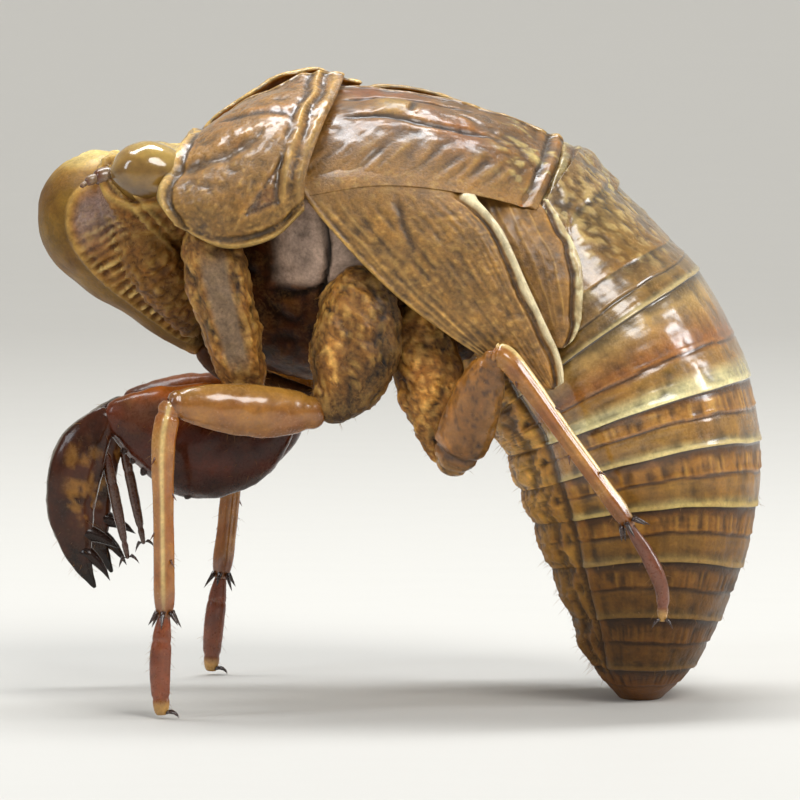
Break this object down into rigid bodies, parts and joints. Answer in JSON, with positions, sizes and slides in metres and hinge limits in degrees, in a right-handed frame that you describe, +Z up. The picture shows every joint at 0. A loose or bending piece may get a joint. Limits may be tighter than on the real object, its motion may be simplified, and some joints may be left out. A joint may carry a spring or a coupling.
{
  "type": "cicada shell",
  "caption": "Empty cast skin of a cicada nymph, arched and split open along the back, with digging forelegs, wing pads and a ringed abdomen, standing on its middle feet and tail.",
  "frame": {"origin": "on the ground, under the middle of the bounding box", "axes": "+X towards the tail, +Y towards the animal's right side, +Z up"},
  "size_m": [0.0298, 0.0188, 0.0266],
  "materials": {
    "back_shield": "satin",
    "head_skin": "satin",
    "abdomen_skin": "satin",
    "wing_pad": "satin",
    "leg_skin": "satin",
    "digging_claw": "gloss"
  },
  "bodies": {
    "root": {"abdomen": "abdomen_skin", "head": "head_skin", "rostrum": "leg_skin", "antenna_left": "leg_skin", "antenna_right": "leg_skin", "pronotum_left": "back_shield", "pronotum_right": "back_shield", "mesonotum_left": "back_shield", "mesonotum_right": "back_shield", "forewing_pad_left": "wing_pad", "forewing_pad_right": "wing_pad", "hindwing_pad_left": "wing_pad", "hindwing_pad_right": "wing_pad", "metanotum": "back_shield", "thorax_underside": "back_shield", "foreleg_left_coxa": "leg_skin", "foreleg_left_femur": "digging_claw", "foreleg_left_tibia": "digging_claw", "foreleg_left_tarsus": "leg_skin", "foreleg_right_coxa": "leg_skin", "foreleg_right_femur": "digging_claw", "foreleg_right_tibia": "digging_claw", "foreleg_right_tarsus": "leg_skin", "midleg_left_coxa": "leg_skin", "midleg_left_femur": "leg_skin", "midleg_left_tibia": "leg_skin", "midleg_left_tarsus": "leg_skin", "midleg_right_coxa": "leg_skin", "midleg_right_femur": "leg_skin", "midleg_right_tibia": "leg_skin", "midleg_right_tarsus": "leg_skin", "hindleg_left_coxa": "leg_skin", "hindleg_left_femur": "leg_skin", "hindleg_left_tibia": "leg_skin", "hindleg_left_tarsus": "leg_skin", "hindleg_right_coxa": "leg_skin", "hindleg_right_femur": "leg_skin", "hindleg_right_tibia": "leg_skin", "hindleg_right_tarsus": "leg_skin"}
  },
  "joints": []
}
